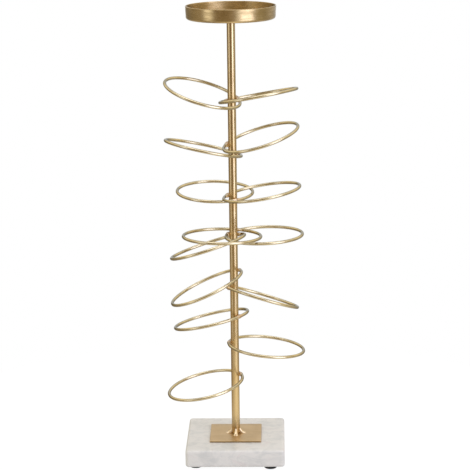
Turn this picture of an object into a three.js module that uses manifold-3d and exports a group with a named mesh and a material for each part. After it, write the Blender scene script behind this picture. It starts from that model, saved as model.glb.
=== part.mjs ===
// Tall candle holder: wire rings tacked to a stem that stands on a marble block.
// Millimetres, +Z up. The stem's axis is the Z axis, the feet stand on Z = 0 and the front faces -Y.
import * as THREE from 'three';
import { mergeVertices } from 'three/addons/utils/BufferGeometryUtils.js';
import Module from 'manifold-3d';

const wasm = await Module();
wasm.setup();

// Marble block and its feet
const BASE_SIDE = 114.3;
const BASE_THICKNESS = 20.5;
const BASE_CORNER_RADIUS = 4;
const BASE_EDGE_RADIUS = 3;
const FOOT_DIAMETER = 14.5;
const FOOT_HEIGHT = 3;
const FOOT_CHAMFER = 0.6;

// Feet are stuck on by hand: each one's middle in from the side and from the front or back edge
const FEET = [
  { name: 'foot_front_left', right: -1, back: -1, fromSide: 11.5, fromEdge: 13.5 },
  { name: 'foot_front_right', right: 1, back: -1, fromSide: 16.5, fromEdge: 9.5 },
  { name: 'foot_back_left', right: -1, back: 1, fromSide: 14, fromEdge: 12 },
  { name: 'foot_back_right', right: 1, back: 1, fromSide: 14, fromEdge: 12 },
];

// Plate under the stem
const PLATE_SIDE = 60;
const PLATE_THICKNESS = 1.6;
const PLATE_CORNER_RADIUS = 1;

// Stem tube and the tapped inserts in its ends
const STEM_DIAMETER = 9.5;
const STEM_LENGTH = 487;
const STEM_WALL = 1;
const INSERT_LENGTH = 16;
const INSERT_WALL = 0.95;
const INSERT_CLEARANCE = 0.15;

// Dish for the candle
const PAN_DIAMETER = 101.6;
const PAN_HEIGHT = 15.1;
const PAN_WALL = 1.2;
const PAN_CORNER_RADIUS = 3;
const PAN_DRAFT = 0.6;
const PAN_SEAT_CLEARANCE = 1;
const PAN_RIM_CHAMFER = 0.3;
const LEAST_FILLET = 0.2;

// Fasteners: one thread size, set by what the inserts leave
const THREAD_CLEARANCE = 0.15;
const THREAD_RUNOUT = 3;
const HOLE_CLEARANCE = 0.4;
const MARBLE_CLEARANCE = 1;
const BOLT_HEAD_HEIGHT = 3.5;
const BOLT_HEAD_OVERHANG = 1.5;
const WASHER_DIAMETER = 20;
const WASHER_THICKNESS = 1.2;
const RECESS_DEPTH = 9;
const RECESS_CLEARANCE = 1;
const SCREW_HEAD_HEIGHT = 2.2;
const SCREW_HEAD_OVERHANG = 3;

// Wire rings and weld beads
const RING_DIAMETER = 91;
const WIRE_DIAMETER = 3.6;
const RING_GAP = 0.3;
const WIRE_SPACING = 0.4;
const RING_BEAD = { across: 4, along: 7, high: 3.2 };
const FOOT_BEAD = { across: 8, along: 5, high: 7 };

// Each ring from the bottom up: its tack as a share of the stem's length, and degrees for the way that it
// points, the lift of its far side and its roll about that direction. Heading 0 is +X and 90 is +Y.
const RINGS = [
  { share: 0.147, heading: 198, lift: -12, roll: 2 },
  { share: 0.227, heading: 358, lift: -6, roll: -2 },
  { share: 0.294, heading: 141, lift: -14, roll: -3 },
  { share: 0.364, heading: 23, lift: -20, roll: -4 },
  { share: 0.405, heading: 203, lift: -22, roll: 10 },
  { share: 0.493, heading: 343, lift: 2, roll: 0 },
  { share: 0.491, heading: 218, lift: -10, roll: 16 },
  { share: 0.502, heading: 251, lift: 2.5, roll: 0 },
  { share: 0.578, heading: 126, lift: 4, roll: -1 },
  { share: 0.587, heading: 335, lift: 9, roll: 3 },
  { share: 0.685, heading: 205, lift: 13.5, roll: 0 },
  { share: 0.709, heading: 335, lift: 13.5, roll: 11 },
  { share: 0.81, heading: 327, lift: 12, roll: 0 },
  { share: 0.816, heading: 206, lift: 12, roll: -14 },
];

// Facets
const ROUND_SEGMENTS = 32;
const PAN_SEGMENTS = 44;
const SMALL_SEGMENTS = 24;
const RING_STEPS = 34;
const WIRE_SIDES = 8;
const BEAD_SIDES = 8;
const BEAD_RINGS = 4;
const SLIDE_STEP = 0.1;
const RING_SAMPLES = 240;
const EDGE_STEPS = 2;
const CORNER_STEPS = 3;
const CUT_PAST = 1;

// Places and sizes that follow from the driving ones
const plateBottom = FOOT_HEIGHT + BASE_THICKNESS;
const stemFoot = plateBottom + PLATE_THICKNESS;
const stemHead = stemFoot + STEM_LENGTH;
const stemRadius = STEM_DIAMETER / 2;
const insertRadius = stemRadius - STEM_WALL - INSERT_CLEARANCE;
const insertHole = insertRadius - INSERT_WALL;
const threadRadius = insertHole - THREAD_CLEARANCE;
const passRadius = threadRadius + HOLE_CLEARANCE;
const threadReach = INSERT_LENGTH - THREAD_RUNOUT;
const ringRadius = (RING_DIAMETER - WIRE_DIAMETER) / 2;
const wireReach = stemRadius + RING_GAP + WIRE_DIAMETER / 2;

const marble = new THREE.MeshStandardMaterial({ color: 0xdcd8d4, roughness: 0.4, metalness: 0 });
const brass = new THREE.MeshStandardMaterial({ color: 0xc0a064, roughness: 0.35, metalness: 1 });
const satinBrass = new THREE.MeshStandardMaterial({ color: 0xd0b47e, roughness: 0.45, metalness: 1 });
const steel = new THREE.MeshStandardMaterial({ color: 0x9a9a98, roughness: 0.4, metalness: 1 });
const rubber = new THREE.MeshStandardMaterial({ color: 0x161616, roughness: 0.9, metalness: 0 });

// A closed geometry as a solid for joining and cutting
function toSolid(geometry) {
  const bare = geometry.clone();
  bare.deleteAttribute('normal');
  bare.deleteAttribute('uv');
  const merged = mergeVertices(bare, 1e-4);
  const vertProperties = new Float32Array(merged.attributes.position.array);
  const triVerts = new Uint32Array(merged.index.array);
  return new wasm.Manifold(new wasm.Mesh({ numProp: 3, vertProperties, triVerts }));
}

function toGeometry(solid) {
  const mesh = solid.getMesh();
  const geometry = new THREE.BufferGeometry();
  geometry.setAttribute('position', new THREE.BufferAttribute(new Float32Array(mesh.vertProperties), 3));
  geometry.setIndex(new THREE.BufferAttribute(new Uint32Array(mesh.triVerts), 1));
  geometry.computeVertexNormals();
  return geometry;
}

// A profile of [radius, height] pairs turned about Z
function turned(profile, segments) {
  const points = profile.map(([radius, height]) => new THREE.Vector2(radius, height));
  return new THREE.LatheGeometry(points, segments).rotateX(Math.PI / 2);
}

// A hollow round sleeve from one height to another
function sleeve(outer, inner, bottom, top, segments) {
  const profile = [[inner, bottom], [outer, bottom], [outer, top], [inner, top], [inner, bottom]];
  return turned(profile, segments);
}

// A solid round rod from one height to another
function rod(radius, bottom, top, segments) {
  return turned([[0, bottom], [radius, bottom], [radius, top], [0, top]], segments);
}

function roundedSquare(side, radius) {
  const half = side / 2;
  const shape = new THREE.Shape();
  shape.moveTo(-half + radius, -half);
  shape.lineTo(half - radius, -half);
  shape.absarc(half - radius, -half + radius, radius, -Math.PI / 2, 0);
  shape.lineTo(half, half - radius);
  shape.absarc(half - radius, half - radius, radius, 0, Math.PI / 2);
  shape.lineTo(-half + radius, half);
  shape.absarc(-half + radius, half - radius, radius, Math.PI / 2, Math.PI);
  shape.lineTo(-half, -half + radius);
  shape.absarc(-half + radius, -half + radius, radius, Math.PI, Math.PI * 1.5);
  return shape;
}

// A bead of weld metal: a ball squeezed to its three sizes
function bead(size) {
  const ball = new THREE.SphereGeometry(0.5, BEAD_SIDES, BEAD_RINGS);
  return ball.scale(size.across, size.along, size.high);
}

function addPiece(parent, name, geometry, material) {
  const mesh = new THREE.Mesh(geometry, material);
  mesh.name = name;
  parent.add(mesh);
  return mesh;
}

// Marble block with eased edges, a hole for the bolt and a recess for its head
function marbleBlock() {
  const outline = roundedSquare(BASE_SIDE, BASE_CORNER_RADIUS);
  const block = new THREE.ExtrudeGeometry(outline, {
    depth: BASE_THICKNESS - 2 * BASE_EDGE_RADIUS,
    bevelThickness: BASE_EDGE_RADIUS,
    bevelSize: BASE_EDGE_RADIUS,
    bevelOffset: -BASE_EDGE_RADIUS,
    bevelSegments: EDGE_STEPS,
    curveSegments: CORNER_STEPS,
  });
  block.translate(0, 0, BASE_EDGE_RADIUS);
  const holeRadius = threadRadius + MARBLE_CLEARANCE;
  const hole = rod(holeRadius, -CUT_PAST, BASE_THICKNESS + CUT_PAST, SMALL_SEGMENTS);
  const recess = rod(WASHER_DIAMETER / 2 + RECESS_CLEARANCE, -CUT_PAST, RECESS_DEPTH, ROUND_SEGMENTS);
  return toGeometry(toSolid(block).subtract(toSolid(hole)).subtract(toSolid(recess)));
}

function footPad() {
  const radius = FOOT_DIAMETER / 2;
  const chamfer = FOOT_CHAMFER;
  const profile = [[0, 0], [radius - chamfer, 0], [radius, chamfer], [radius, FOOT_HEIGHT], [0, FOOT_HEIGHT]];
  return turned(profile, SMALL_SEGMENTS);
}

// Square plate with the bolt's hole and four tack beads round the stem
function stemPlate() {
  const outline = roundedSquare(PLATE_SIDE, PLATE_CORNER_RADIUS);
  const hole = new THREE.Path();
  hole.absarc(0, 0, passRadius, 0, Math.PI * 2, true);
  outline.holes.push(hole);
  const sheet = new THREE.ExtrudeGeometry(outline, {
    depth: PLATE_THICKNESS,
    bevelEnabled: false,
    curveSegments: SMALL_SEGMENTS / 2,
  });
  let solid = toSolid(sheet);
  const beadSpace = sleeve(
    stemRadius + RING_GAP + FOOT_BEAD.across,
    stemRadius + RING_GAP,
    PLATE_THICKNESS / 2,
    PLATE_THICKNESS + FOOT_BEAD.high,
    ROUND_SEGMENTS,
  );
  for (const turn of [0, 1, 2, 3]) {
    const tack = bead(FOOT_BEAD);
    tack.translate(stemRadius + RING_GAP, 0, PLATE_THICKNESS);
    tack.rotateZ((turn * Math.PI) / 2);
    solid = solid.add(toSolid(tack).intersect(toSolid(beadSpace)));
  }
  return toGeometry(solid);
}

// Spun dish: flat floor with the screw's hole and a line scribed round its head, a rounded corner and a
// wall that leans out a little
function dish() {
  const rim = PAN_DIAMETER / 2;
  const foot = rim - PAN_DRAFT;
  const inner = Math.max(PAN_CORNER_RADIUS - PAN_WALL, LEAST_FILLET);
  const chamfer = Math.min(PAN_RIM_CHAMFER, PAN_WALL / 3);
  const profile = [[passRadius, 0]];
  for (let step = 0; step <= CORNER_STEPS; step += 1) {
    const angle = (step / CORNER_STEPS) * (Math.PI / 2);
    const radius = foot - PAN_CORNER_RADIUS + PAN_CORNER_RADIUS * Math.sin(angle);
    profile.push([radius, PAN_CORNER_RADIUS * (1 - Math.cos(angle))]);
  }
  profile.push([rim, PAN_HEIGHT - chamfer], [rim - chamfer, PAN_HEIGHT]);
  profile.push([rim - PAN_WALL + chamfer, PAN_HEIGHT], [rim - PAN_WALL, PAN_HEIGHT - chamfer]);
  for (let step = CORNER_STEPS; step >= 0; step -= 1) {
    const angle = (step / CORNER_STEPS) * (Math.PI / 2);
    const radius = foot - PAN_WALL - inner + inner * Math.sin(angle);
    profile.push([radius, PAN_WALL + inner * (1 - Math.cos(angle))]);
  }
  const seat = threadRadius + SCREW_HEAD_OVERHANG + PAN_SEAT_CLEARANCE;
  profile.push([seat, PAN_WALL], [passRadius, PAN_WALL], [passRadius, 0]);
  return turned(profile, PAN_SEGMENTS);
}

// Hexagon bolt standing head down: its head's bearing face is at height 0
function hexBolt(length) {
  const acrossCorners = (threadRadius + BOLT_HEAD_OVERHANG) / Math.cos(Math.PI / 6);
  const head = rod(acrossCorners, -BOLT_HEAD_HEIGHT, 0, 6);
  const shank = rod(threadRadius, -BOLT_HEAD_HEIGHT / 2, length, SMALL_SEGMENTS);
  return toGeometry(toSolid(head).add(toSolid(shank)));
}

// Pan-head screw: its head's bearing face is at height 0
function panHeadScrew(length) {
  const head = threadRadius + SCREW_HEAD_OVERHANG;
  const shoulder = SCREW_HEAD_HEIGHT / 2;
  const profile = [
    [0, -length],
    [threadRadius, -length],
    [threadRadius, 0],
    [head, 0],
    [head, shoulder],
    [threadRadius, SCREW_HEAD_HEIGHT],
    [0, SCREW_HEAD_HEIGHT],
  ];
  return turned(profile, SMALL_SEGMENTS);
}

// The place of a ring whose wire touches the stem at a height: its local X runs across the ring from there
function ringPlace(ring, height) {
  const heading = THREE.MathUtils.degToRad(ring.heading);
  const lift = THREE.MathUtils.degToRad(ring.lift);
  const roll = THREE.MathUtils.degToRad(ring.roll);
  const place = new THREE.Object3D();
  place.position.set(-wireReach * Math.cos(heading), -wireReach * Math.sin(heading), height);
  place.rotation.set(roll, -lift, heading, 'ZYX');
  place.updateMatrix();
  return place;
}

// Least distance from the centre line of one placed ring to that of another
function leastDistance(one, other) {
  const across = other.matrix.clone().invert().multiply(one.matrix);
  let least = Infinity;
  for (let step = 0; step < RING_SAMPLES; step += 1) {
    const angle = (step / RING_SAMPLES) * Math.PI * 2;
    const point = new THREE.Vector3(Math.cos(angle) + 1, Math.sin(angle), 0);
    point.multiplyScalar(ringRadius).applyMatrix4(across);
    const fromWire = Math.hypot(point.x - ringRadius, point.y) - ringRadius;
    least = Math.min(least, Math.hypot(fromWire, point.z));
  }
  return least;
}

// Rings are tacked on from the bottom up, each slid up the stem until its wire clears those below it
function placeRings() {
  const placed = [];
  for (const ring of RINGS) {
    let height = stemFoot + ring.share * STEM_LENGTH;
    let place = ringPlace(ring, height);
    while (placed.some((below) => leastDistance(place, below) < WIRE_DIAMETER + WIRE_SPACING)) {
      height += SLIDE_STEP;
      place = ringPlace(ring, height);
    }
    placed.push(place);
  }
  return placed;
}

// One closed ring of wire with the weld bead that ties it to the stem
function wireRing(place) {
  const wire = new THREE.TorusGeometry(ringRadius, WIRE_DIAMETER / 2, WIRE_SIDES, RING_STEPS);
  wire.rotateZ(Math.PI);
  wire.translate(ringRadius, 0, 0);
  const weld = bead(RING_BEAD);
  weld.translate(WIRE_DIAMETER / 2, 0, 0);
  const stemSpace = rod(stemRadius + RING_GAP, 0, stemHead, ROUND_SEGMENTS);
  stemSpace.applyMatrix4(place.matrix.clone().invert());
  return toGeometry(toSolid(weld).subtract(toSolid(stemSpace)).add(toSolid(wire)));
}

const candleHolder = new THREE.Group();

const base = new THREE.Group();
candleHolder.add(base);
addPiece(base, 'marble_base', marbleBlock(), marble).position.z = FOOT_HEIGHT;
for (const foot of FEET) {
  const x = foot.right * (BASE_SIDE / 2 - foot.fromSide);
  const y = foot.back * (BASE_SIDE / 2 - foot.fromEdge);
  addPiece(base, foot.name, footPad(), rubber).position.set(x, y, 0);
}
const recessTop = FOOT_HEIGHT + RECESS_DEPTH;
const washer = sleeve(WASHER_DIAMETER / 2, passRadius, -WASHER_THICKNESS, 0, SMALL_SEGMENTS);
addPiece(base, 'base_washer', washer, steel).position.z = recessTop;
const boltSeat = recessTop - WASHER_THICKNESS;
const boltLength = stemFoot + threadReach - boltSeat;
addPiece(base, 'base_bolt', hexBolt(boltLength), steel).position.z = boltSeat;
addPiece(base, 'base_plate', stemPlate(), satinBrass).position.z = plateBottom;

const column = new THREE.Group();
column.position.z = stemFoot;
candleHolder.add(column);
const tube = sleeve(stemRadius, stemRadius - STEM_WALL, 0, STEM_LENGTH, ROUND_SEGMENTS);
addPiece(column, 'stem', tube, brass);
const insert = sleeve(insertRadius, insertHole, 0, INSERT_LENGTH, ROUND_SEGMENTS);
addPiece(column, 'stem_foot_insert', insert, steel);
addPiece(column, 'stem_head_insert', insert.clone(), steel).position.z = STEM_LENGTH - INSERT_LENGTH;

const top = new THREE.Group();
top.position.z = stemHead;
candleHolder.add(top);
addPiece(top, 'candle_pan', dish(), brass);
const screw = panHeadScrew(PAN_WALL + threadReach);
addPiece(top, 'pan_screw', screw, steel).position.z = PAN_WALL;

placeRings().forEach((place, index) => {
  const name = `ring_${String(index + 1).padStart(2, '0')}`;
  const ring = addPiece(candleHolder, name, wireRing(place), satinBrass);
  ring.position.copy(place.position);
  ring.rotation.copy(place.rotation);
});

export default candleHolder;
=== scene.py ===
import math

import bpy
import numpy as np
from mathutils import Matrix, Vector


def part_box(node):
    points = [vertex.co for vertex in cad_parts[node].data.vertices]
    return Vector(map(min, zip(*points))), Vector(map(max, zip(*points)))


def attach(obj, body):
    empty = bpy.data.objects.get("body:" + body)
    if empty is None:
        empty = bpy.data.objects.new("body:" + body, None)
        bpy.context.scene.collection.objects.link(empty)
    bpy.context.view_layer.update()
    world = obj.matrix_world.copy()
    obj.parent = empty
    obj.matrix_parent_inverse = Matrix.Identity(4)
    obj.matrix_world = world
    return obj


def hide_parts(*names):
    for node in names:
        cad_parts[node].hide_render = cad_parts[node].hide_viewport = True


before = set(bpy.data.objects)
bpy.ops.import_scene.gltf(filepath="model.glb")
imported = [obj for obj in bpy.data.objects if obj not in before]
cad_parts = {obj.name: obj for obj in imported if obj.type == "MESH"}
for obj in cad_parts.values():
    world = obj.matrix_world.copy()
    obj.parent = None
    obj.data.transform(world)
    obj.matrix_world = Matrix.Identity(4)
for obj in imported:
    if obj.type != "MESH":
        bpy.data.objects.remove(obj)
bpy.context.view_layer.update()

fullTurn = 2 * math.pi
quarterTurn = math.pi / 2
print("frame loaded, nodes:", len(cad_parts))


# Surfaces

# a grid of points becomes quads between neighbours: round rows or columns join their end to their start,
# and a cap is one point that the first or the last row is drawn in to
def gridSurface(points, roundRows=False, roundColumns=True, startCap=None, endCap=None):
    rows, columns = points.shape[:2]
    index = np.arange(rows * columns).reshape(rows, columns)
    if roundColumns:
        index = np.concatenate([index, index[:, :1]], axis=1)
    if roundRows:
        index = np.concatenate([index, index[:1]], axis=0)
    corners = [index[:-1, :-1], index[:-1, 1:], index[1:, 1:], index[1:, :-1]]
    blocks = [np.stack(corners, axis=-1).reshape(-1, 4)]
    vertices = points.reshape(-1, 3)
    ends = ((startCap, index[0, 1:], index[0, :-1]), (endCap, index[-1, :-1], index[-1, 1:]))
    for cap, near, far in ends:
        if cap is None:
            continue
        tip = np.full(columns, len(vertices))
        vertices = np.vstack([vertices, cap])
        blocks.append(np.stack([tip, near, far], axis=-1))
    return vertices, blocks


# several surfaces put one after the other in one mesh
def joinSurfaces(surfaces):
    vertices = np.vstack([points for points, _ in surfaces])
    starts = np.cumsum([0] + [len(points) for points, _ in surfaces])
    blocks = [block + start for start, (_, part) in zip(starts, surfaces) for block in part]
    return vertices, blocks


# points, and blocks of faces with one number of corners each, become a mesh
def newMesh(name, surface, material):
    vertices, blocks = surface
    mesh = bpy.data.meshes.new(name)
    mesh.from_pydata(vertices.tolist(), [], [face for block in blocks for face in block.tolist()])
    mesh.materials.append(material)
    return mesh


def addObject(name, data):
    added = bpy.data.objects.new(name, data)
    bpy.context.scene.collection.objects.link(added)
    return added


# a finished piece: mesh, smooth shading, values at its points, body and the nodes that it stands for
def addPiece(name, surface, material, slotName, *nodes, values=None):
    mesh = newMesh(name, surface, material)
    mesh.shade_smooth()
    for key, numbers in (values or {}).items():
        kind, field = ("FLOAT", "value") if numbers.ndim == 1 else ("FLOAT_VECTOR", "vector")
        attribute = mesh.attributes.new(key, kind, "POINT")
        attribute.data.foreach_set(field, numbers.astype(np.float32).ravel())
    piece = addObject(name, mesh)
    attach(piece, "root")
    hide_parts(*nodes)


# points of an arc as (across, up) pairs, angles in degrees from the across direction
def arcPoints(across, up, radius, start, end, count):
    angle = np.radians(np.linspace(start, end, count))
    return np.stack([across + radius * np.cos(angle), up + radius * np.sin(angle)], axis=-1)


# a straight run of (across, up) pairs, its first end left off
def runPoints(start, end, count):
    share = np.linspace(0, 1, count + 1)[1:, None]
    return np.asarray(start) * (1 - share) + np.asarray(end) * share


# equal steps round a full turn
def turnAngles(count):
    return np.arange(count) * fullTurn / count


# points round an upright axis: radius times cosine and sine of the angle, and the height
def roundPoints(radius, height, angle, centre=(0, 0)):
    x = centre[0] + radius * np.cos(angle)
    y = centre[1] + radius * np.sin(angle)
    return np.stack([x, y, np.broadcast_to(height, x.shape)], axis=-1)


# a profile of (radius, height) pairs turned about an upright axis
def turnedPoints(profile, segments, centre=(0, 0)):
    return roundPoints(profile[:, :1], profile[:, 1:], turnAngles(segments), centre)


# a square path with round corners: for each column the centre that its corner turns about, as a share of
# the straight half side, and the way that the outline faces there
def squarePath(arcCount, sideCount):
    quarter = np.arange(4)[:, None]
    swing = np.linspace(0, 1, arcCount)[None, :]
    arcAngle = (quarter + swing) * quarterTurn
    cornerAngle = (quarter + 0.5) * quarterTurn
    cornerX, cornerY = np.sign(np.cos(cornerAngle)), np.sign(np.sin(cornerAngle))
    share = np.linspace(0, 1, sideCount + 1)[None, 1:-1]
    nextX, nextY = np.roll(cornerX, -1, axis=0), np.roll(cornerY, -1, axis=0)
    sideX, sideY = cornerX + (nextX - cornerX) * share, cornerY + (nextY - cornerY) * share
    sideAngle = np.broadcast_to((quarter + 1) * quarterTurn, sideX.shape)
    hubX = np.concatenate([np.broadcast_to(cornerX, arcAngle.shape), sideX], axis=1).ravel()
    hubY = np.concatenate([np.broadcast_to(cornerY, arcAngle.shape), sideY], axis=1).ravel()
    facing = np.concatenate([arcAngle, sideAngle], axis=1).ravel()
    return np.stack([hubX, hubY], axis=-1), np.stack([np.cos(facing), np.sin(facing)], axis=-1)


# rows of a square slab: each row is (inset from the outline, height, share of outline, circle radius), and
# a point is the outline moved in by the inset, mixed with a circle about the middle by the share
def slabPoints(rows, half, size):
    corner = size["corner"]
    hub, facing = squarePath(size["cornerPoints"], size["sidePoints"])
    inset, height, share, circle = (rows[:, column, None, None] for column in range(4))
    outline = (half - corner) * hub + (corner - inset) * facing
    onCircle = outline / np.linalg.norm(outline, axis=-1, keepdims=True)
    flat = share * outline + (1 - share) * circle * onCircle
    return np.concatenate([flat, np.broadcast_to(height, flat[..., :1].shape)], axis=-1)


# the slab's skin as such rows: from a hole out over its underside, round both edges as quarter circles, and
# back over its top to a hole
def skinRows(size, low, high, lowerHole, upperHole):
    edge = size["edge"]
    swing = np.linspace(0, quarterTurn, size["edgeRows"])
    under = np.stack([edge * (1 - np.sin(swing)), low + edge * (1 - np.cos(swing))], axis=-1)
    over = np.stack([edge * (1 - np.cos(swing)), high - edge * (1 - np.sin(swing))], axis=-1)
    side = runPoints(under[-1], over[0], size["sideRows"])[:-1]
    skin = np.concatenate([under, side, over])
    skin = np.column_stack([skin, np.ones(len(skin)), np.zeros(len(skin))])
    spread = np.array(size["spread"])[:, None]
    beneath = spread * [0, 0, 1, 0] + [edge, low, 0, lowerHole]
    above = spread[::-1] * [0, 0, 1, 0] + [edge, high, 0, upperHole]
    return np.concatenate([beneath, skin, above])


# Finishes

noiseBand = (0.3, 0.7)  # most of a noise lies in here
noiseMiddle = 0.5


# a socket takes a number, a colour or another node's output
def setSocket(tree, socket, value):
    if isinstance(value, bpy.types.NodeSocket):
        tree.links.new(value, socket)
    else:
        socket.default_value = value


def addNode(tree, kind, sockets=None, **settings):
    node = tree.nodes.new(kind)
    for key, value in settings.items():
        setattr(node, key, value)
    for key, value in (sockets or {}).items():
        setSocket(tree, node.inputs[key], value)
    return node


def newFinish(name, sockets):
    material = bpy.data.materials.new(name)
    material.use_nodes = True
    tree = material.node_tree
    shader = tree.nodes["Principled BSDF"]
    for key, value in sockets.items():
        shader.inputs[key].default_value = value
    return material, tree, shader


# colour, roughness and a bump of (strength, distance) reach the shader
def linkFinish(tree, shader, colour, rough, height, bump):
    sockets = {"Height": height, "Strength": bump[0], "Distance": bump[1]}
    normal = addNode(tree, "ShaderNodeBump", sockets).outputs["Normal"]
    for key, value in (("Base Color", colour), ("Roughness", rough), ("Normal", normal)):
        tree.links.new(value, shader.inputs[key])


# a place is scaled along each axis so that a pattern can be drawn out
def scaledPlace(tree, place, scale):
    return addNode(tree, "ShaderNodeMapping", {"Vector": place, "Scale": scale}).outputs["Vector"]


def objectPlace(tree, scale=(1, 1, 1)):
    return scaledPlace(tree, addNode(tree, "ShaderNodeTexCoord").outputs["Object"], scale)


def attributePlace(tree, name, scale):
    place = addNode(tree, "ShaderNodeAttribute", attribute_name=name).outputs["Vector"]
    return scaledPlace(tree, place, scale)


# the place with its height taken out
def flatPlace(tree):
    return objectPlace(tree, (1, 1, 0))


def heightValue(tree):
    return addNode(tree, "ShaderNodeSeparateXYZ", {"Vector": objectPlace(tree)}).outputs["Z"]


def attributeValue(tree, name):
    return addNode(tree, "ShaderNodeAttribute", attribute_name=name).outputs["Fac"]


def noiseValue(tree, place, scale, detail, roughness=0.5, distortion=0.0):
    sockets = {"Vector": place, "Scale": scale, "Detail": detail}
    sockets.update({"Roughness": roughness, "Distortion": distortion})
    return addNode(tree, "ShaderNodeTexNoise", sockets).outputs["Fac"]


def colourRamp(tree, value, stops, colours):
    ramp = addNode(tree, "ShaderNodeValToRGB", {"Fac": value})
    elements = ramp.color_ramp.elements
    while len(elements) < len(stops):
        elements.new(0.5)
    for element, stop, colour in zip(elements, stops, colours):
        element.position = stop
        element.color = (*colour, 1)
    return ramp.outputs["Color"]


def rangeValue(tree, value, band, low, high):
    sockets = {"Value": value, "From Min": band[0], "From Max": band[1], "To Min": low, "To Max": high}
    return addNode(tree, "ShaderNodeMapRange", sockets).outputs["Result"]


def mathValue(tree, operation, first, second=0.0):
    return addNode(tree, "ShaderNodeMath", {0: first, 1: second}, operation=operation).outputs["Value"]


def vectorMath(tree, operation, first, second=(0, 0, 0)):
    return addNode(tree, "ShaderNodeVectorMath", {0: first, 1: second}, operation=operation).outputs


# the mix node takes its share at socket 0 and colours at 6 and 7, and gives their mix at 2
def mixColour(tree, share, first, second):
    node = addNode(tree, "ShaderNodeMix", data_type="RGBA")
    colours = [(*value, 1) if isinstance(value, tuple) else value for value in (first, second)]
    for number, value in zip((0, 6, 7), (share, *colours)):
        setSocket(tree, node.inputs[number], value)
    return node.outputs[2]


# a second colour comes over the first as a value rises through its band, up to a share
def layColour(tree, value, band, share, first, second):
    return mixColour(tree, rangeValue(tree, value, band, 0.0, share), first, second)


# heat is the piece's own weld value, mottled
def heatValue(tree, look):
    mottle = noiseValue(tree, objectPlace(tree), **look["mottle"])
    spread = rangeValue(tree, mottle, look["mottleBand"], *look["heatSpread"])
    return mathValue(tree, "MULTIPLY", attributeValue(tree, "weld"), spread), mottle


# streaks make the metal satin, and heat makes it rougher
def heatedRoughness(tree, look, streaks, heat):
    satin = rangeValue(tree, streaks, noiseBand, *look["roughness"])
    return mathValue(tree, "ADD", satin, mathValue(tree, "MULTIPLY", heat, look["heatRoughness"]))


# marble: warm white with soft grey and rose clouds, a few faint veins and a honed face
marbleLook = dict(
    warm=(0.80, 0.752, 0.658),
    grey=(0.705, 0.673, 0.592),
    rose=(0.765, 0.688, 0.603),
    vein=(0.60, 0.576, 0.514),
    clouds=dict(scale=52.0, detail=5.0, roughness=0.55, distortion=0.6),
    cloudStretch=(1, 1, 1.7),
    cloudStops=(0.36, 0.48, 0.57, 0.68),
    wander=dict(scale=20.0, detail=4.0, roughness=0.55, distortion=1.4),
    wanderStretch=(1, 1.6, 1.2),
    veinWidth=0.05,
    veinShare=0.36,
    grains=dict(scale=900.0, detail=3.0),
    grainShare=0.12,
    roughness=(0.3, 0.46),
    shine=0.5,
    bump=(0.08, 0.0002),
)


def marbleFinish(look):
    material, tree, shader = newFinish("honedMarble", {"Specular IOR Level": look["shine"]})
    clouds = noiseValue(tree, objectPlace(tree, look["cloudStretch"]), **look["clouds"])
    cloudColours = (look["grey"], look["warm"], look["warm"], look["rose"])
    colour = colourRamp(tree, clouds, look["cloudStops"], cloudColours)
    wander = noiseValue(tree, objectPlace(tree, look["wanderStretch"]), **look["wander"])
    fromLine = mathValue(tree, "ABSOLUTE", mathValue(tree, "SUBTRACT", wander, noiseMiddle))
    veins = rangeValue(tree, fromLine, (0.0, look["veinWidth"]), look["veinShare"], 0.0)
    colour = mixColour(tree, veins, colour, look["vein"])
    grains = noiseValue(tree, objectPlace(tree), **look["grains"])
    colour = layColour(tree, grains, noiseBand, look["grainShare"], colour, look["grey"])
    rough = rangeValue(tree, grains, noiseBand, *look["roughness"])
    linkFinish(tree, shader, colour, rough, grains, look["bump"])
    return material


# rubber: near black with a paler speckle of wear
rubberLook = dict(
    dark=(0.012, 0.012, 0.013),
    worn=(0.035, 0.034, 0.033),
    speckle=dict(scale=1400.0, detail=3.0),
    speckleStops=(0.35, 0.75),
    roughness=(0.65, 0.9),
    shine=0.3,
    bump=(0.2, 0.0002),
)


def rubberFinish(look):
    material, tree, shader = newFinish("blackRubber", {"Specular IOR Level": look["shine"]})
    speckle = noiseValue(tree, objectPlace(tree), **look["speckle"])
    colour = colourRamp(tree, speckle, look["speckleStops"], (look["dark"], look["worn"]))
    rough = rangeValue(tree, speckle, noiseBand, *look["roughness"])
    linkFinish(tree, shader, colour, rough, speckle, look["bump"])
    return material


# every brass finish has a thin lacquer over it and a rim tint that greys it at a glancing angle
lacquer = {
    "Metallic": 1.0,
    "Specular Tint": (0.5, 0.53, 0.56, 1),
    "Coat Weight": 0.15,
    "Coat Roughness": 0.12,
}


# brass on the stem: drawn tube, so fine streaks run along it, with slow changes of tint, and a heat tint
# round each tack
stemLook = dict(
    light=(0.57, 0.43, 0.237),
    deep=(0.53, 0.39, 0.2),
    tinted=(0.54, 0.34, 0.118),
    rim=(0.85, 0.88, 0.9, 1),
    streaks=dict(scale=1100.0, detail=2.0),
    streakStretch=(1, 1, 0.012),
    streakBand=(0.35, 0.7),
    streakShare=0.4,
    clouds=dict(scale=60.0, detail=3.0),
    cloudStretch=(1, 1, 0.3),
    cloudStops=(0.3, 0.62),
    mottle=dict(scale=420.0, detail=3.0),
    mottleBand=noiseBand,
    heatSpread=(0.7, 1.15),
    tintBand=(0.05, 1.0),
    tintShare=0.8,
    roughness=(0.2, 0.25),
    heatRoughness=0.1,
    bump=(0.02, 0.0002),
)


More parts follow.
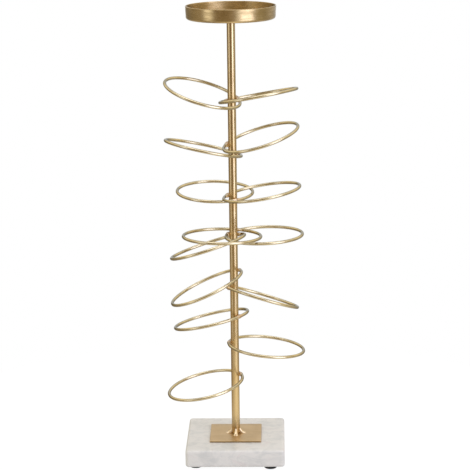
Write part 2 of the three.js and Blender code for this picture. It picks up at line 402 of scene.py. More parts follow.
def stemFinish(look):
    material, tree, shader = newFinish("drawnBrass", {**lacquer, "Specular Tint": look["rim"]})
    streaks = noiseValue(tree, objectPlace(tree, look["streakStretch"]), **look["streaks"])
    clouds = noiseValue(tree, objectPlace(tree, look["cloudStretch"]), **look["clouds"])
    colour = colourRamp(tree, clouds, look["cloudStops"], (look["deep"], look["light"]))
    colour = layColour(tree, streaks, look["streakBand"], look["streakShare"], colour, look["deep"])
    heat, _ = heatValue(tree, look)
    colour = layColour(tree, heat, look["tintBand"], look["tintShare"], colour, look["tinted"])
    rough = heatedRoughness(tree, look, streaks, heat)
    linkFinish(tree, shader, colour, rough, clouds, look["bump"])
    return material


# brass wire of the rings: streaks along the wire, cloudy tint, and burnt metal where a ring is tacked on
ringLook = dict(
    light=(0.59, 0.505, 0.34),
    deep=(0.49, 0.41, 0.255),
    burntAndShade=(0.30, 0.19, 0.09),
    copper=(0.72, 0.53, 0.37),
    streaks=dict(scale=900.0, detail=4.0, roughness=0.55),
    streakStretch=(1, 1, 0.03),
    streakBand=(0.4, 0.72),
    streakShare=0.4,
    clouds=dict(scale=75.0, detail=3.0, roughness=0.6),
    cloudStretch=(0.4, 0.4, 1),
    cloudStops=(0.36, 0.6),
    mottle=dict(scale=700.0, detail=4.0),
    mottleBand=(0.25, 0.6),
    heatSpread=(0.55, 1.15),
    copperBand=(0.03, 0.35),
    copperShare=0.8,
    burntBand=(0.65, 1.1),
    burntShare=0.6,
    roughness=(0.16, 0.24),
    heatRoughness=0.2,
    bump=(0.3, 0.0003),
)


def ringFinish(look):
    material, tree, shader = newFinish("satinWireBrass", lacquer)
    streaks = noiseValue(tree, attributePlace(tree, "wire", look["streakStretch"]), **look["streaks"])
    clouds = noiseValue(tree, attributePlace(tree, "wire", look["cloudStretch"]), **look["clouds"])
    colour = colourRamp(tree, clouds, look["cloudStops"], (look["deep"], look["light"]))
    colour = layColour(tree, streaks, look["streakBand"], look["streakShare"], colour, look["deep"])
    heat, mottle = heatValue(tree, look)
    colour = layColour(tree, heat, look["copperBand"], look["copperShare"], colour, look["copper"])
    colour = layColour(tree, heat, look["burntBand"], look["burntShare"], colour, look["burntAndShade"])
    rough = heatedRoughness(tree, look, streaks, heat)
    lumps = mathValue(tree, "MULTIPLY", mottle, heat)
    linkFinish(tree, shader, colour, rough, lumps, look["bump"])
    return material


# brushed brass of the dish: lines run round the axis, so the noise is drawn out round it. It is read at
# the direction from the axis, little changed, and at radius plus height, which runs across the lines.
panLook = dict(
    light=(0.595, 0.43, 0.205),
    deep=(0.325, 0.215, 0.066),
    lines=dict(scale=520.0, detail=4.0, roughness=0.7),
    lineDrawn=0.005,
    lineBand=(0.42, 0.6),
    lineShare=0.8,
    hairs=dict(scale=2600.0, detail=3.0, roughness=0.7),
    hairDrawn=0.0012,
    hairBand=(0.42, 0.66),
    hairShare=0.35,
    clouds=dict(scale=55.0, detail=3.0),
    cloudStops=(0.32, 0.6),
    roughness=(0.21, 0.4),
    bump=(0.1, 0.0002),
)
panShine = {
    "Specular Tint": (0.8, 0.82, 0.84, 1),
    "Coat Weight": 0.85,
    "Coat IOR": 1.66,
    "Coat Roughness": 0.3,
    "Anisotropic": 0.5,
    "Anisotropic Rotation": 0.25,
}


def brushLines(tree, facing, across, drawn, noise):
    along = vectorMath(tree, "MULTIPLY", facing, (drawn, drawn, drawn))["Vector"]
    place = vectorMath(tree, "ADD", along, across)["Vector"]
    return noiseValue(tree, place, **noise)


def panFinish(look):
    material, tree, shader = newFinish("brushedBrass", {**lacquer, **panShine})
    flat = flatPlace(tree)
    facing = vectorMath(tree, "NORMALIZE", flat)["Vector"]
    radius = vectorMath(tree, "LENGTH", flat)["Value"]
    outAndUp = mathValue(tree, "ADD", radius, heightValue(tree))
    across = addNode(tree, "ShaderNodeCombineXYZ", {"Z": outAndUp}).outputs["Vector"]
    lines = brushLines(tree, facing, across, look["lineDrawn"], look["lines"])
    hairs = brushLines(tree, facing, across, look["hairDrawn"], look["hairs"])
    clouds = noiseValue(tree, objectPlace(tree), **look["clouds"])
    colour = colourRamp(tree, clouds, look["cloudStops"], (look["deep"], look["light"]))
    colour = layColour(tree, lines, look["lineBand"], look["lineShare"], colour, look["deep"])
    colour = layColour(tree, hairs, look["hairBand"], look["hairShare"], colour, look["deep"])
    rough = rangeValue(tree, lines, noiseBand, *look["roughness"])
    linkFinish(tree, shader, colour, rough, mathValue(tree, "ADD", lines, hairs), look["bump"])
    return material


# satin brass of the plate, brushed from side to side, with darker edges, a ring of painted shade round the
# stem that shows between the flares, and bright weld metal
plateLook = dict(
    light=(0.66, 0.475, 0.265),
    deep=(0.575, 0.41, 0.22),
    edge=(0.335, 0.222, 0.102),
    # the colour of the painted shade round the stem's foot
    burntAndShade=(0.42, 0.28, 0.13),
    weld=(0.80, 0.64, 0.44),
    brushed=dict(scale=900.0, detail=4.0, roughness=0.6),
    brushStretch=(0.03, 1, 1),
    brushBand=(0.4, 0.7),
    brushShare=0.35,
    clouds=dict(scale=60.0, detail=4.0),
    cloudStops=(0.33, 0.62),
    shadeBand=(0.0055, 0.0095),
    shadeRagged=0.002,
    shadeShare=0.7,
    roughness=(0.34, 0.46),
    bump=(0.04, 0.0002),
)


def plateFinish(look):
    material, tree, shader = newFinish("satinPlateBrass", lacquer)
    brushed = noiseValue(tree, objectPlace(tree, look["brushStretch"]), **look["brushed"])
    clouds = noiseValue(tree, objectPlace(tree), **look["clouds"])
    colour = colourRamp(tree, clouds, look["cloudStops"], (look["deep"], look["light"]))
    colour = layColour(tree, brushed, look["brushBand"], look["brushShare"], colour, look["deep"])
    # painted shade: a darker ring round the stem's foot, made ragged by the clouds, seen between the flares
    fromStem = vectorMath(tree, "LENGTH", flatPlace(tree))["Value"]
    ragged = rangeValue(tree, clouds, noiseBand, -look["shadeRagged"], look["shadeRagged"])
    reach = mathValue(tree, "ADD", fromStem, ragged)
    burnAndShade = rangeValue(tree, reach, look["shadeBand"], look["shadeShare"], 0.0)
    colour = mixColour(tree, burnAndShade, colour, look["burntAndShade"])
    colour = mixColour(tree, attributeValue(tree, "weld"), colour, look["weld"])
    # the plate's outer edges take a darker colour
    colour = mixColour(tree, attributeValue(tree, "edge"), colour, look["edge"])
    rough = rangeValue(tree, brushed, noiseBand, *look["roughness"])
    linkFinish(tree, shader, colour, rough, brushed, look["bump"])
    return material


# plated steel of the fasteners: light grey with dull patches
steelLook = dict(
    light=(0.62, 0.62, 0.61),
    dull=(0.42, 0.42, 0.42),
    mottle=dict(scale=420.0, detail=4.0),
    mottleStops=(0.3, 0.65),
    roughness=(0.26, 0.42),
    bump=(0.08, 0.0001),
)


def steelFinish(look):
    material, tree, shader = newFinish("platedSteel", {"Metallic": 1.0})
    mottle = noiseValue(tree, objectPlace(tree), **look["mottle"])
    colour = colourRamp(tree, mottle, look["mottleStops"], (look["dull"], look["light"]))
    rough = rangeValue(tree, mottle, noiseBand, *look["roughness"])
    linkFinish(tree, shader, colour, rough, mottle, look["bump"])
    return material


marble = marbleFinish(marbleLook)
rubber = rubberFinish(rubberLook)
stemBrass = stemFinish(stemLook)
ringBrass = ringFinish(ringLook)
panBrass = panFinish(panLook)
plateBrass = plateFinish(plateLook)
steel = steelFinish(steelLook)
print("finishes made")


# Marble block: rows go out from the recess under the block, up its side, over the top to the bolt's hole
# and back down through the hole and the recess, and each row is carried round the square path
marbleBlock = dict(
    corner=0.004,
    edge=0.003,
    hole=0.0035,
    recess=0.011,
    recessDepth=0.009,
    easing=0.0004,
    spread=(0.02, 0.2, 0.5, 0.8),
    edgeRows=9,
    sideRows=8,
    cornerPoints=10,
    sidePoints=14,
)


def marbleRows(size, low, high):
    edge, hole, recess, ease = size["edge"], size["hole"], size["recess"], size["easing"]
    roof = low + size["recessDepth"]
    inside = np.array([
        [edge, high, 0, hole],
        [edge, high - ease, 0, hole],
        [edge, roof + ease, 0, hole],
        [edge, roof, 0, hole],
        [edge, roof, 0, (hole + recess) / 2],
        [edge, roof, 0, recess - ease],
        [edge, roof - ease, 0, recess],
        [edge, (roof + low) / 2, 0, recess],
        [edge, low + ease, 0, recess],
        [edge, low, 0, recess + ease],
    ])
    return np.concatenate([skinRows(size, low, high, recess + ease, hole), inside])


low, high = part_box("marble_base")
rows = marbleRows(marbleBlock, low.z, high.z)
points = slabPoints(rows, (high.x - low.x) / 2, marbleBlock)
addPiece("marbleBlock", gridSurface(points, roundRows=True), marble, "marble", "marble_base")
print("marble block made")


# Rubber feet: a pad with a round lower edge and a side that swells by half a sine wave, turned about its
# middle
rubberFoot = dict(edge=0.0007, swell=0.0002, faceShare=0.5, segments=48, edgePoints=7, sidePoints=7)


def footProfile(size, radius, bottom, top):
    edge = size["edge"]
    face = radius * size["faceShare"]
    lower = arcPoints(radius - edge, bottom + edge, edge, -90, 0, size["edgePoints"])
    rise = np.linspace(0, 1, size["sidePoints"] + 1)[1:]
    bulge = radius + size["swell"] * np.sin(rise * math.pi) - size["swell"] * rise
    side = np.column_stack([bulge, bottom + edge + rise * (top - bottom - edge)])
    return np.concatenate([[[face, bottom]], lower, side, [[face, top]]])


for corner in ("front_left", "front_right", "back_left", "back_right"):
    low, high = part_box("foot_" + corner)
    middle = ((low.x + high.x) / 2, (low.y + high.y) / 2)
    profile = footProfile(rubberFoot, (high.x - low.x) / 2, low.z, high.z)
    points = turnedPoints(profile, rubberFoot["segments"], middle)
    surface = gridSurface(points, startCap=(*middle, low.z), endCap=(*middle, high.z))
    addPiece("rubberFoot_" + corner, surface, rubber, "rubber", "foot_" + corner)
print("feet made")


# Plate under the stem: a thin slab with the bolt's hole, and four flares of weld metal that run from the
# stem down to the plate. A flare's ridge is a concave curve from its height on the stem to its reach on
# the plate, and it widens as it goes down and closes at its tip.
stemPlate = dict(
    side=0.06,
    corner=0.001,
    edge=0.00025,
    hole=0.0029,
    thickness=0.0016,
    shearedShare=0.6,
    spread=(0.02, 0.3, 0.65),
    edgeRows=5,
    sideRows=1,
    cornerPoints=6,
    sidePoints=12,
)
plateTack = dict(
    height=0.0066,
    reach=0.007,
    topWidth=0.0014,
    footWidth=0.0031,
    leastWidth=0.0002,
    body=0.0007,
    bury=0.0004,
    fallPower=2.2,
    widthPower=0.8,
    tipPower=6,
    rows=22,
    columns=20,
    count=4,
)


def plateRows(size, low, high):
    edge, hole = size["edge"], size["hole"]
    inside = np.array([[edge, high, 0, hole], [edge, low, 0, hole]])
    return np.concatenate([skinRows(size, low, high, hole, hole), inside])


def tackPoints(size, stemRadius, plateTop, heading):
    bury = size["bury"]
    along = np.linspace(0, 1, size["rows"])[:, None]
    around = turnAngles(size["columns"])[None, :]
    outward = stemRadius - bury + (size["reach"] + bury) * along
    ridge = size["height"] * (1 - along) ** size["fallPower"]
    width = size["topWidth"] + (size["footWidth"] - size["topWidth"]) * along ** size["widthPower"]
    width = width * np.sqrt(np.clip(1 - along ** size["tipPower"], 0, 1)) + size["leastWidth"]
    bulge = np.sin(around)
    up = plateTop - bury + np.where(bulge > 0, (ridge + bury + size["body"]) * bulge, 0)
    side = width * np.cos(around)
    x = outward * math.cos(heading) - side * math.sin(heading)
    y = outward * math.sin(heading) + side * math.cos(heading)
    return np.stack([x, y, up], axis=-1)


low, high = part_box("base_plate")
stemLow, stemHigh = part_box("stem")
plateTop = low.z + stemPlate["thickness"]
plateHalf = stemPlate["side"] / 2
points = slabPoints(plateRows(stemPlate, low.z, plateTop), plateHalf, stemPlate)
surfaces = [gridSurface(points, roundRows=True)]
for heading in turnAngles(plateTack["count"]):
    points = tackPoints(plateTack, stemHigh.x, plateTop, heading)
    surfaces.append(gridSurface(points, startCap=points[0].mean(axis=0), endCap=points[-1].mean(axis=0)))
surface = joinSurfaces(surfaces)
weld = np.ones(len(surface[0]))
weld[:len(surfaces[0][0])] = 0
fromMiddle = np.abs(surface[0][:, :2]).max(axis=1)
sheared = fromMiddle > plateHalf - stemPlate["edge"] * stemPlate["shearedShare"]
values = {"weld": weld, "edge": sheared.astype(float)}
addPiece("stemPlate", surface, plateBrass, "satin_brass", "base_plate", values=values)
print("plate made")


# Rings: a round wire carried along a circle. The circle is the one that best fits the node's points away
# from the stem, and the wire swells by a bell of the distance from where it comes nearest to the stem.
wireRing = dict(
    wire=0.0018,
    clearOfStem=0.012,
    tackLength=0.0034,
    tackSwell=0.00055,
    patternStep=0.4,
    around=20,
    along=220,
    trials=7200,
)
weldFill = dict(
    reach=0.0075,
    frontReach=dict(
        ring_05=0.012,
        ring_07=0.011,
        ring_08=0.012,
        ring_10=0.013,
        ring_12=0.013,
        ring_14=0.013,
    ),
    height=0.002,
    bury=0.0007,
    ripple=0.06,
    ripplesAround=3,
    rippleTwist=5,
    aside=0.01,
    heat=0.2,
    burnAndShade=1.4,
    burnReach=0.004,
    rows=30,
    columns=24,
)


# the plane is the one that the points spread in, and the circle in it is the one of least squares
def fitCircle(points):
    middle = points.mean(axis=0)
    planeAxes = np.linalg.svd(points - middle)[2]
    flat = (points - middle) @ planeAxes[:2].T
    system = np.column_stack([2 * flat, np.ones(len(flat))])
    answer = np.linalg.lstsq(system, (flat ** 2).sum(axis=1), rcond=None)[0]
    centre = middle + answer[:2] @ planeAxes[:2]
    radius = math.sqrt(answer[2] + answer[0] ** 2 + answer[1] ** 2)
    return centre, radius, planeAxes[0], planeAxes[1]


def nodePoints(name):
    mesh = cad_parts[name].data
    numbers = np.empty(len(mesh.vertices) * 3)
    mesh.vertices.foreach_get("co", numbers)
    return numbers.reshape(-1, 3)


# filler closes the wedge between wire and stem: across it an ellipse from the wire's middle to the stem's
# skin, along the wire a height that falls to nothing as a half circle does, rippled a little. Some rings
# have a longer run of it on the side that comes to the front. It is burnt most on top, by the stem and
# near the touch.
def fillPoints(size, name, ringPoint, touch, radius, stemRadius):
    share = np.linspace(-1, 1, size["rows"] + 2)[:, None]
    aside = np.array([touch - size["aside"], touch + size["aside"]])
    frontWay = -np.sign(np.diff(ringPoint(aside)[:, 1])[0])
    frontReach = size["frontReach"].get(name, size["reach"])
    away = np.where(share > 0, share * frontReach, share * size["reach"])
    line = ringPoint(touch + frontWay * away / radius)
    fromAxis = np.hypot(line[..., 0], line[..., 1])
    inward = -line * [1, 1, 0] / fromAxis[..., None]
    halfGap = (fromAxis - stemRadius) / 2
    around = turnAngles(size["columns"])[None, :]
    ripple = 1 + size["ripple"] * np.sin(size["ripplesAround"] * around + size["rippleTwist"] * share)
    across = halfGap + (halfGap + size["bury"]) * np.cos(around)
    up = size["height"] * np.sqrt(1 - share ** 2) * ripple * np.sin(around)
    points = line + across[..., None] * inward + up[..., None] * np.array([0, 0, 1])
    middles = (line + halfGap[..., None] * inward)[:, 0]
    byStem = (1 + np.cos(around)) * (1 + np.sin(around)) / 4
    heat = size["heat"] + size["burnAndShade"] * byStem * np.exp(-(away / size["burnReach"]) ** 2)
    step = line[-1, 0] - line[0, 0]
    leftOfStep = np.array([-step[1], step[0], 0]) @ inward[size["rows"] // 2, 0] > 0
    turned = slice(None) if leftOfStep else slice(None, None, -1)
    surface = gridSurface(points[1:-1, turned], startCap=middles[0], endCap=middles[-1])
    return surface, np.concatenate([heat[1:-1, turned].ravel(), [size["heat"], size["heat"]]])


def ringPiece(name, number, size):
    points = nodePoints(name)
    clear = np.hypot(points[:, 0], points[:, 1]) > size["clearOfStem"]
    centre, radius, first, second = fitCircle(points[clear])

    def ringPoint(turn):
        return centre + radius * (np.cos(turn)[..., None] * first + np.sin(turn)[..., None] * second)

    trial = np.linspace(0, fullTurn, size["trials"], endpoint=False)
    touch = trial[np.linalg.norm(ringPoint(trial)[:, :2], axis=1).argmin()]
    angle = turnAngles(size["along"])
    outward = np.cos(angle + touch)[:, None] * first + np.sin(angle + touch)[:, None] * second
    upward = np.cross(first, second)
    fromTack = radius * np.minimum(angle, fullTurn - angle)
    tack = np.exp(-(fromTack / size["tackLength"]) ** 2)
    wire = size["wire"] + size["tackSwell"] * tack
    swing = turnAngles(size["around"])[:, None]
    outShare = (wire * np.cos(swing))[..., None]
    upShare = (wire * np.sin(swing))[..., None]
    grid = centre + (radius + outShare) * outward + upShare * upward
    wireAcross = size["wire"] * np.cos(swing)
    wireUp = size["wire"] * np.sin(swing)
    alongWire = fromTack + size["patternStep"] * number
    wirePlace = np.stack(np.broadcast_arrays(wireAcross, wireUp, alongWire), axis=-1)
    fill, fillHeat = fillPoints(weldFill, name, ringPoint, touch, radius, stemHigh.x)
    surface = joinSurfaces([gridSurface(grid, roundRows=True), fill])
    wirePlace = np.vstack([wirePlace.reshape(-1, 3), fill[0]])
    weld = np.concatenate([np.tile(tack, size["around"]), fillHeat])
    values = {"wire": wirePlace, "weld": weld}
    addPiece("wireRing_" + name[-2:], surface, ringBrass, "ring_brass", name, values=values)
    return ringPoint(touch)


ringNames = sorted(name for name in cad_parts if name.startswith("ring_"))
touches = [ringPiece(name, number, wireRing) for number, name in enumerate(ringNames)]
print("rings made:", len(ringNames))


# Stem: a tube with eased ends, turned about the upright axis. Its heat is a bell of the distance from the
# nearest ring's touch.
stemTube = dict(wall=0.001, ease=0.00015, heatReach=0.0105, segments=96, rows=240)


def tubeProfile(size, radius, bottom, top):
    ease, bore = size["ease"], radius - size["wall"]
    return np.concatenate([
        [[radius - ease, bottom], [radius, bottom + ease]],
        runPoints((radius, bottom + ease), (radius, top - ease), size["rows"]),
        [[radius - ease, top], [bore + ease, top]],
        [[bore, top - ease], [bore, bottom + ease], [bore + ease, bottom]],
    ])


points = turnedPoints(tubeProfile(stemTube, stemHigh.x, stemLow.z, stemHigh.z), stemTube["segments"])
fromTouch = np.linalg.norm(points[:, :, None] - np.array(touches), axis=-1).min(axis=-1)
values = {"weld": np.exp(-(fromTouch / stemTube["heatReach"]) ** 2).ravel()}
surface = gridSurface(points, roundRows=True)
addPiece("stemTube", surface, stemBrass, "polished_brass", "stem", values=values)
print("stem made")


# Dish: floor, round corner, a wall that leans out, a rounded rim and the same way back inside, turned about
# the upright axis
candlePan = dict(
    wall=0.0012,
    corner=0.003,
    draft=0.0006,
    rim=0.00045,
    hole=0.0029,
    segments=180,
    cornerPoints=12,
    innerCornerPoints=10,
    rimPoints=7,
    wallRows=10,
    floorRows=8,
    innerFloorRows=10,
)


def panProfile(size, reach, bottom, top):
    wall, corner, rim, hole = size["wall"], size["corner"], size["rim"], size["hole"]
    foot = reach - size["draft"]
    inner = corner - wall
    lean = math.degrees(math.atan2(size["draft"], top - bottom - corner))
    outerCorner = arcPoints(foot - corner, bottom + corner, corner, -90, -lean, size["cornerPoints"])
    outerRim = arcPoints(reach - rim, top - rim, rim, 0, 90, size["rimPoints"])
    innerRim = arcPoints(reach - wall + rim, top - rim, rim, 90, 180, size["rimPoints"])
    innerMiddle = (foot - wall - inner, bottom + wall + inner)
    innerCorner = arcPoints(*innerMiddle, inner, -lean, -90, size["innerCornerPoints"])
    return np.concatenate([
        [[hole, bottom]],
        runPoints((hole, bottom), outerCorner[0], size["floorRows"])[:-1],
        outerCorner,
        runPoints(outerCorner[-1], outerRim[0], size["wallRows"])[:-1],
        outerRim,
        innerRim,
        runPoints(innerRim[-1], innerCorner[0], size["wallRows"])[:-1],
        innerCorner,
        runPoints(innerCorner[-1], (hole, bottom + wall), size["innerFloorRows"]),
    ])


low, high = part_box("candle_pan")
points = turnedPoints(panProfile(candlePan, high.x, low.z, high.z), candlePan["segments"])
addPiece("candlePan", gridSurface(points, roundRows=True), panBrass, "brushed_brass", "candle_pan")
panFloor = low.z + candlePan["wall"]
print("dish made")


# Screw in the dish: a thread wound on a shank, and a domed head with a cross sunk in it. The thread is a
# wave of the radius that climbs one pitch in a turn. The dome falls with the square of the radius, and the
# cross is a depth taken off it near two crossing lines.
panScrew = dict(
    shank=0.0025,
    depth=0.0003,
    pitch=0.0008,
    tip=0.0002,
    edge=0.0005,
    edgeTurn=60,
    cross=0.0022,
    crossSlope=0.0003,
    slot=0.00055,
    slotSlope=0.0002,
    sink=0.0011,
    sinkAbove=0.0006,
    pole=0.00003,
    segments=96,
    edgePoints=5,
    domeRows=44,
    threadRows=150,
)


def threadPoints(size, start, end):
    angle = turnAngles(size["segments"])[None, :]
    height = np.linspace(start, end, size["threadRows"])[:, None]
    phase = np.mod(height / size["pitch"] - angle / fullTurn, 1.0)
    radius = size["shank"] - size["depth"] * np.abs(2 * phase - 1)
    return roundPoints(radius, height, angle)


def domePoints(size, reach, bottom, top):
    edge = size["edge"]
    outer = arcPoints(reach - edge, bottom + edge, edge, 0, size["edgeTurn"], size["edgePoints"])
    inward = np.linspace(outer[-1, 0], size["pole"], size["domeRows"])[1:]
    rise = top - (top - outer[-1, 1]) * (inward / outer[-1, 0]) ** 2
    under = [[size["shank"], bottom], [reach, bottom]]
    profile = np.concatenate([under, outer, np.column_stack([inward, rise])])
    radius, height = profile[:, :1], profile[:, 1:]
    points = turnedPoints(profile, size["segments"])
    fromLine = np.abs(points[..., :2]).min(axis=-1)
    inSlot = np.clip((size["slot"] - fromLine) / size["slotSlope"], 0, 1)
    inReach = np.clip((size["cross"] - radius) / size["crossSlope"], 0, 1)
    points[..., 2] -= size["sink"] * inSlot * inReach * (height > bottom + size["sinkAbove"])
    return points


low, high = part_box("pan_screw")
shank = threadPoints(panScrew, low.z + panScrew["tip"], panFloor)
points = np.concatenate([shank, domePoints(panScrew, high.x, panFloor, high.z)])
surface = gridSurface(points, startCap=(0, 0, low.z), endCap=points[-1].mean(axis=0))
addPiece("panScrew", surface, steel, "steel", "pan_screw")
print("screw made")


# Bolt under the block: a six sided head whose corners are taken off by a cone, and a threaded shank. The
# head's radius is the lesser of the hexagon's, flat distance over the cosine of the angle from the flat,
# and the cone's, which is given as shares of the flat distance.
baseBolt = dict(
    shank=0.0025,
    depth=0.0003,
    pitch=0.0008,
    tip=0.0002,
    headHeight=0.0035,
    chamfer=0.0007,
    coneShares=(0.5, 0.96, 1.06, 1.2, 1.2),
    seatGap=0.0001,
    segments=96,
    threadRows=260,
)


def boltPoints(size, corners, bottom, top):
    side = fullTurn / 6
    angle = turnAngles(size["segments"])[None, :]
    flats = corners * math.cos(side / 2)
    hexagon = flats / np.cos(np.mod(angle, side) - side / 2)
    chamfer = size["chamfer"]
    seat = bottom + size["headHeight"]
    height = np.array([bottom, bottom, bottom + chamfer / 2, bottom + chamfer, seat, seat])[:, None]
    cone = np.append(flats * np.array(size["coneShares"]), size["shank"])[:, None]
    head = roundPoints(np.minimum(hexagon, cone), height, angle)
    return np.concatenate([head, threadPoints(size, seat + size["seatGap"], top - size["tip"])])


low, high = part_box("base_bolt")
points = boltPoints(baseBolt, high.x, low.z, high.z)
surface = gridSurface(points, startCap=(0, 0, low.z), endCap=(0, 0, high.z))
addPiece("baseBolt", surface, steel, "steel", "base_bolt")


# Washer between the bolt's head and the block: a flat ring with round edges
baseWasher = dict(bore=0.0029, ease=0.0003, segments=72, edgePoints=5)


def washerProfile(size, radius, bottom, top):
    ease, bore, count = size["ease"], size["bore"], size["edgePoints"]
    return np.concatenate([
        arcPoints(radius - ease, bottom + ease, ease, -90, 0, count),
        arcPoints(radius - ease, top - ease, ease, 0, 90, count),
        arcPoints(bore + ease, top - ease, ease, 90, 180, count),
        arcPoints(bore + ease, bottom + ease, ease, 180, 270, count),
    ])


low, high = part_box("base_washer")
points = turnedPoints(washerProfile(baseWasher, high.x, low.z, high.z), baseWasher["segments"])
addPiece("baseWasher", gridSurface(points, roundRows=True), steel, "steel", "base_washer")

# the tapped inserts stay as they are and take the steel
for name in ("stem_foot_insert", "stem_head_insert"):
    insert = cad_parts[name]
    insert.data.materials.clear()
    insert.data.materials.append(steel)
print("fasteners made")


# Stage: a pale table top that shows white and keeps the shadow, dark cards that metal reflects, lamps and
# the world. A heading is in degrees from the front, -Y, towards +X.
table = dict(
    reach=0.45,
    height=-0.0001,
    colour=(0.68, 0.68, 0.68),
    roughness=0.8,
    shine=0.1,
    whiteness=0.85,
    white=1.12,
    segments=128,
)
darkCards = dict(
    distance=2.6,
    low=-2.2,
    high=2.4,
    pale=(1.35, 1.20, 0.85),
    above=(0.3, 1.3),
    below=(-0.1, -1.0),
    spans=(
        dict(start=-160, end=-70, colour=(0.326, 0.273, 0.19), paleAbove=1.0, paleBelow=0.3),
        dict(start=-44, end=15, colour=(0.285, 0.21, 0.124), paleAbove=0.3, paleBelow=0.3),
        dict(start=58, end=100, colour=(0.478, 0.437, 0.326), paleAbove=1.0, paleBelow=0.25),
        dict(start=100, end=160, colour=(0.60, 0.565, 0.50), paleAbove=1.0, paleBelow=0.15),
    ),
    columns=25,
)
darkBoard = dict(
    inner=0.09,
    outer=0.44,
    height=0.0008,
    lit=(0.1, -0.22, 0),
    fall=(0.1, 0.5),
    light=(1.40, 1.34, 1.17),
    dark=(0.38, 0.30, 0.20),
    segments=128,
)
lamps = dict(
    rightSoftbox=dict(
        heading=43, distance=1.75, height=0.6, size=(1.1, 1.8), glow=1.58, colour=(0.88, 0.95, 1.38),
    ),
    leftSoftbox=dict(
        heading=-57, distance=1.75, height=0.5, size=(0.62, 1.1), glow=0.58, colour=(0.94, 0.98, 1.08),
    ),
    topSoftbox=dict(
        heading=0, distance=0.15, height=2.2, size=(1.6, 1.6), glow=1.47, colour=(0.98, 0.99, 1.03),
    ),
)
lampAim = 0.28  # a lamp looks at the axis at this height, or at its own where that is lower
wattsPerGlow = 4  # watts for one unit of glow from a square metre of lamp
studioWorld = dict(level=0.6, seen=1.0, colour=(1, 1, 1, 1))


# one number: a camera, a glossy or a see-through ray
def seenRay(tree):
    path = addNode(tree, "ShaderNodeLightPath").outputs
    either = mathValue(tree, "MAXIMUM", path["Is Camera Ray"], path["Is Glossy Ray"])
    return mathValue(tree, "MAXIMUM", either, path["Is Transmission Ray"])


def mixShader(tree, share, first, second):
    return addNode(tree, "ShaderNodeMixShader", {0: share, 1: first, 2: second}).outputs[0]


# seen rays get mostly plain white, other rays the pale colour, and from below the table is clear
def tableFinish(look):
    sockets = {"Base Color": (*look["colour"], 1), "Roughness": look["roughness"]}
    sockets["Specular IOR Level"] = look["shine"]
    material, tree, shader = newFinish("paleTable", sockets)
    white = addNode(tree, "ShaderNodeEmission", {"Strength": look["white"]}).outputs[0]
    share = mathValue(tree, "MULTIPLY", seenRay(tree), look["whiteness"])
    top = mixShader(tree, share, shader.outputs[0], white)
    clear = addNode(tree, "ShaderNodeBsdfTransparent").outputs[0]
    under = addNode(tree, "ShaderNodeNewGeometry").outputs["Backfacing"]
    oneSided = mixShader(tree, under, top, clear)
    tree.links.new(oneSided, tree.nodes["Material Output"].inputs["Surface"])
    material.cycles.emission_sampling = "NONE"
    return material


# a card only glows
def newGlow(name):
    sockets = {"Base Color": (0, 0, 0, 1), "Specular IOR Level": 0.0, "Emission Strength": 1.0}
    material, tree, shader = newFinish(name, sockets)
    material.cycles.emission_sampling = "NONE"
    return material, tree, shader.inputs["Emission Color"]


# a card is darkest at the height of the stand and paler above and below
def cardFinish(name, span, look):
    material, tree, glow = newGlow(name)
    height = heightValue(tree)
    rising = rangeValue(tree, height, look["above"], 0.0, span["paleAbove"])
    falling = rangeValue(tree, height, look["below"], 0.0, span["paleBelow"])
    share = mathValue(tree, "MAXIMUM", rising, falling)
    tree.links.new(mixColour(tree, share, span["colour"], look["pale"]), glow)
    return material


# the board glows with a painted pool of light in front of the block, which falls off to dark with the
# distance from that place
def boardFinish(look):
    material, tree, glow = newGlow("litBoard")
    away = vectorMath(tree, "DISTANCE", objectPlace(tree), look["lit"])["Value"]
    tree.links.new(layColour(tree, away, look["fall"], 1.0, look["light"], look["dark"]), glow)
    return material


def addStage(name, surface, material):
    stage = addObject(name, newMesh(name, surface, material))
    return stage


# cards show only in reflections
def addCard(name, surface, material):
    card = addStage(name, surface, material)
    card.visible_camera = False
    card.visible_diffuse = False
    card.visible_shadow = False


# a flat ring between two radii
def flatRing(outer, inner, height, segments):
    return turnedPoints(np.array([[outer, height], [inner, height]]), segments)


def headingPlace(distance, heading):
    angle = np.radians(heading)
    return distance * np.sin(angle), -distance * np.cos(angle)


def addLamp(name, heading, distance, height, size, glow, colour):
    light = bpy.data.lights.new(name, "AREA")
    light.shape = "RECTANGLE"
    light.size, light.size_y = size
    light.energy = glow * size[0] * size[1] * wattsPerGlow
    light.color = colour
    lamp = addObject(name, light)
    lamp.location = (*headingPlace(distance, heading), height)
    toObject = Vector((0, 0, min(height, lampAim))) - lamp.location
    lamp.rotation_euler = toObject.to_track_quat("-Z", "Y").to_euler()
    lamp.visible_camera = False


ring = flatRing(table["reach"], table["reach"] / 2, table["height"], table["segments"])
addStage("tableTop", gridSurface(ring, endCap=(0, 0, table["height"])), tableFinish(table))

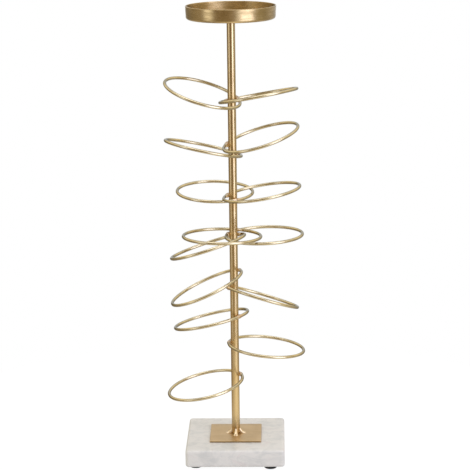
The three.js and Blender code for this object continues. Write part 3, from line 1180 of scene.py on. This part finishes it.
# a card is a piece of a tall drum, heading one way and height the other, and the board is a flat ring
edges = np.array([darkCards["low"], darkCards["high"]])[:, None]
for number, span in enumerate(darkCards["spans"]):
    name = f"darkCard_{number}"
    heading = np.linspace(span["start"], span["end"], darkCards["columns"])
    sheet = np.stack(np.broadcast_arrays(*headingPlace(darkCards["distance"], heading), edges), axis=-1)
    addCard(name, gridSurface(sheet, roundColumns=False), cardFinish(name, span, darkCards))
ring = flatRing(darkBoard["outer"], darkBoard["inner"], darkBoard["height"], darkBoard["segments"])
addCard("darkBoard", gridSurface(ring), boardFinish(darkBoard))

for name, lamp in lamps.items():
    addLamp(name, **lamp)

# the world lights at its level, and seen rays get white
world = bpy.data.worlds.new("studio")
bpy.context.scene.world = world
world.use_nodes = True
world.cycles.sampling_method = "NONE"
worldTree = world.node_tree
lit = worldTree.nodes["Background"]
lit.inputs["Strength"].default_value = studioWorld["level"]
lit.inputs["Color"].default_value = studioWorld["colour"]
seenSockets = {"Color": studioWorld["colour"], "Strength": studioWorld["seen"]}
seen = addNode(worldTree, "ShaderNodeBackground", seenSockets)
mixed = mixShader(worldTree, seenRay(worldTree), lit.outputs[0], seen.outputs[0])
worldTree.links.new(mixed, worldTree.nodes["World Output"].inputs["Surface"])
print("stage and lamps made")


# Camera: place in metres, heading to the left of +Y, tilt down and roll in degrees
viewPoint = dict(
    place=(0.0501, -1.8992, 0.7153),
    heading=1.459,
    down=13.348,
    roll=-0.718,
    lens=130.33,
    sensor=36,
    far=50,
)


def addCamera(view):
    heading, down, roll = (math.radians(view[key]) for key in ("heading", "down", "roll"))
    ahead = math.cos(down)
    forward = Vector((-math.sin(heading) * ahead, math.cos(heading) * ahead, -math.sin(down)))
    right = forward.cross(Vector((0, 0, 1))).normalized()
    upward = right.cross(forward)
    across = math.cos(roll) * right + math.sin(roll) * upward
    above = -math.sin(roll) * right + math.cos(roll) * upward
    camera = addObject("photoCamera", bpy.data.cameras.new("photoCamera"))
    camera.data.lens = view["lens"]
    camera.data.sensor_width = view["sensor"]
    camera.data.clip_end = view["far"]
    axes = Matrix((across, above, -forward)).transposed().to_4x4()
    camera.matrix_world = Matrix.Translation(view["place"]) @ axes
    bpy.context.scene.camera = camera


addCamera(viewPoint)
bpy.context.scene.view_settings.view_transform = "Standard"
